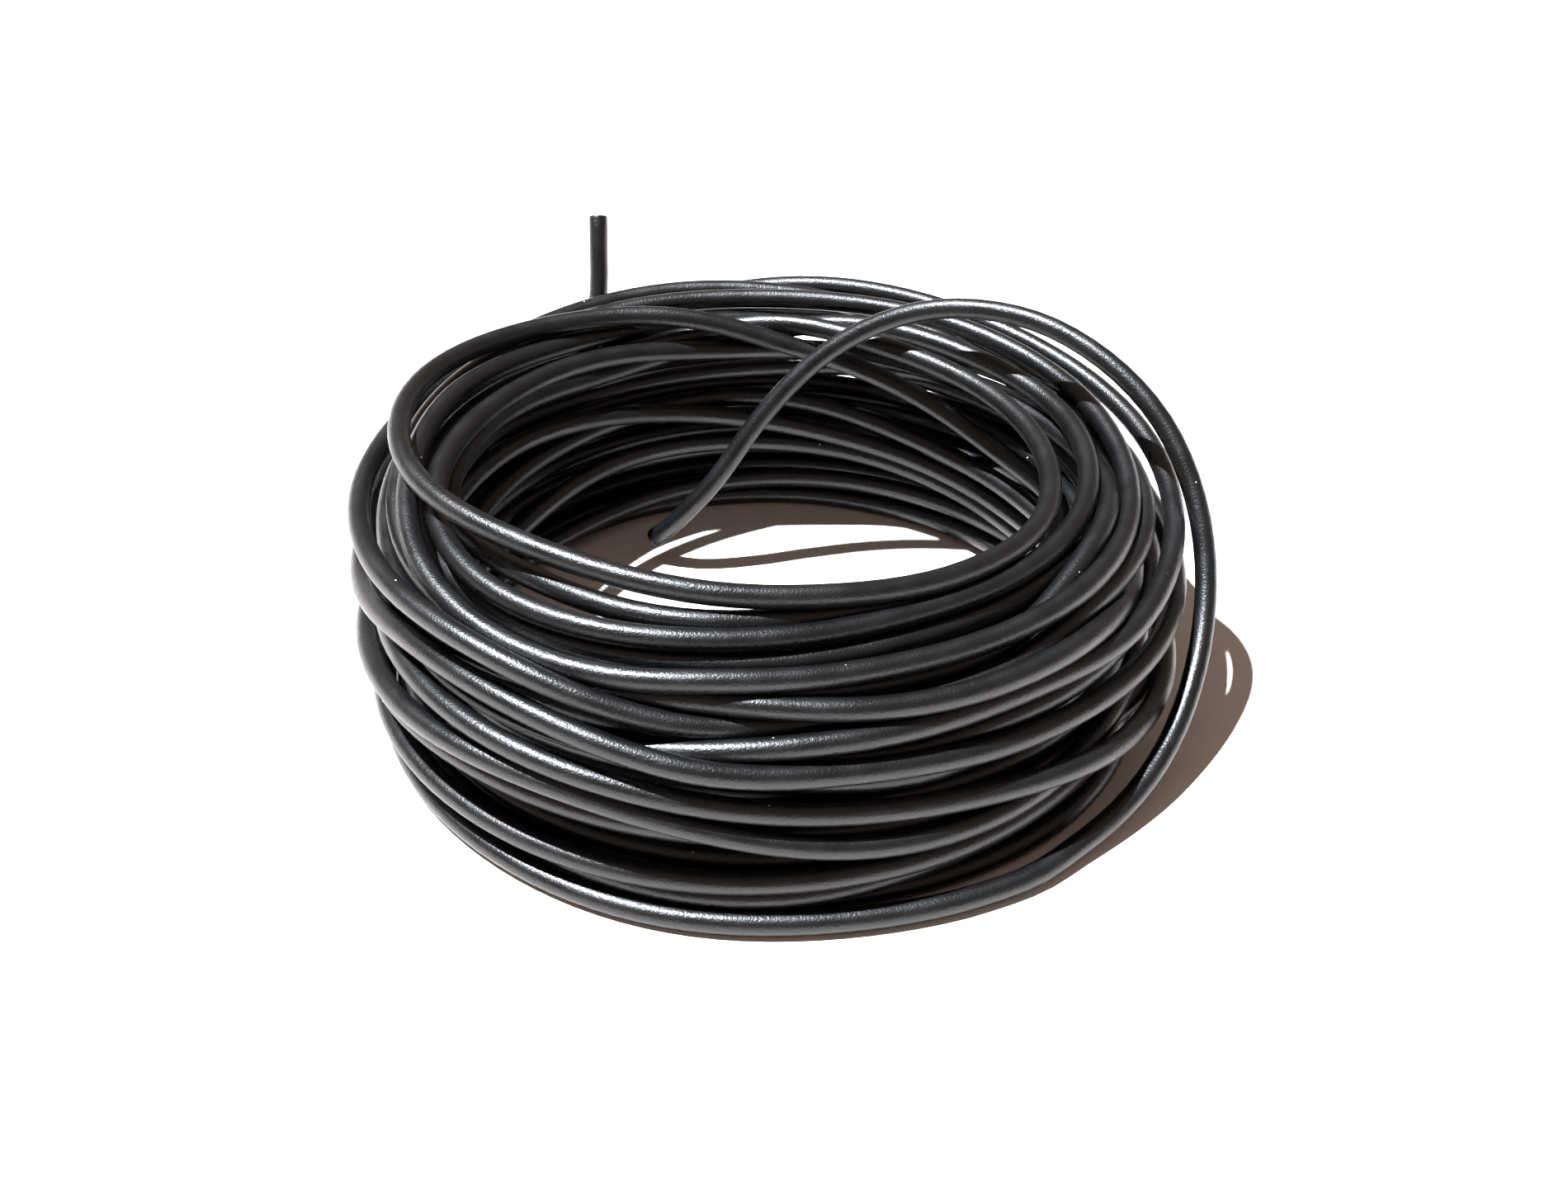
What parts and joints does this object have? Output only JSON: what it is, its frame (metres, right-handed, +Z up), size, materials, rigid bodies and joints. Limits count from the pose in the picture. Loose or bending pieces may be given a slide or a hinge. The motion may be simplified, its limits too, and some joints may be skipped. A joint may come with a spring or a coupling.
{
  "type": "coil of insulated battery cable",
  "caption": "Loose hand-wound coil of thin black insulated cable for battery wiring, with cut ends: one lies over the rim into the bore, the other stands up behind.",
  "frame": {"origin": "on the floor, under the middle of the whole object's box", "axes": "+Z up along the coil's bore, -Y to the front, +X to the side that the loose turn comes down"},
  "size_m": [0.0938, 0.0946, 0.036],
  "materials": {
    "insulation": "satin, extruded soft PVC"
  },
  "bodies": {
    "root": {"cable_coil": "insulation", "loose_turn": "insulation", "standing_end": "insulation"}
  },
  "joints": []
}
